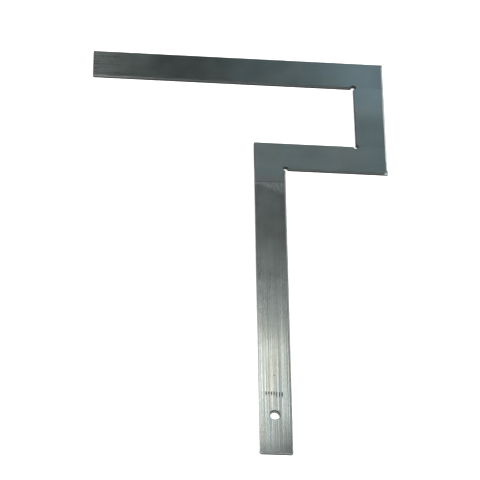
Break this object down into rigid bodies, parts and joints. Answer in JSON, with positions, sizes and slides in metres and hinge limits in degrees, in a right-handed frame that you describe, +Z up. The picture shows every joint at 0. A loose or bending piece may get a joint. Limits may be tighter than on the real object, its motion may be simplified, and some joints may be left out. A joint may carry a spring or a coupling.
{
  "type": "flange square",
  "caption": "Flat steel right-angle square for pipe fitting, with a sideways step that clears a flange rim and a hang hole in the leg.",
  "frame": {"origin": "centre of the outer rectangle that the square fits in, on the underside", "axes": "+X along the arm towards the riser, +Y along the leg towards the arm, +Z up through the thickness"},
  "size_m": [0.19, 0.295, 0.003],
  "materials": {
    "head_steel": "dull zinc-plated, dressed smooth",
    "leg_steel": "brushed lengthwise, zinc-plated",
    "weld_steel": "ground flush"
  },
  "bodies": {
    "root": {"arm_bar": "head_steel", "riser_bar": "head_steel", "shelf_bar": "head_steel", "leg_bar": "leg_steel", "arm_riser_weld": "weld_steel", "riser_shelf_weld": "weld_steel", "shelf_leg_weld": "weld_steel"}
  },
  "joints": []
}
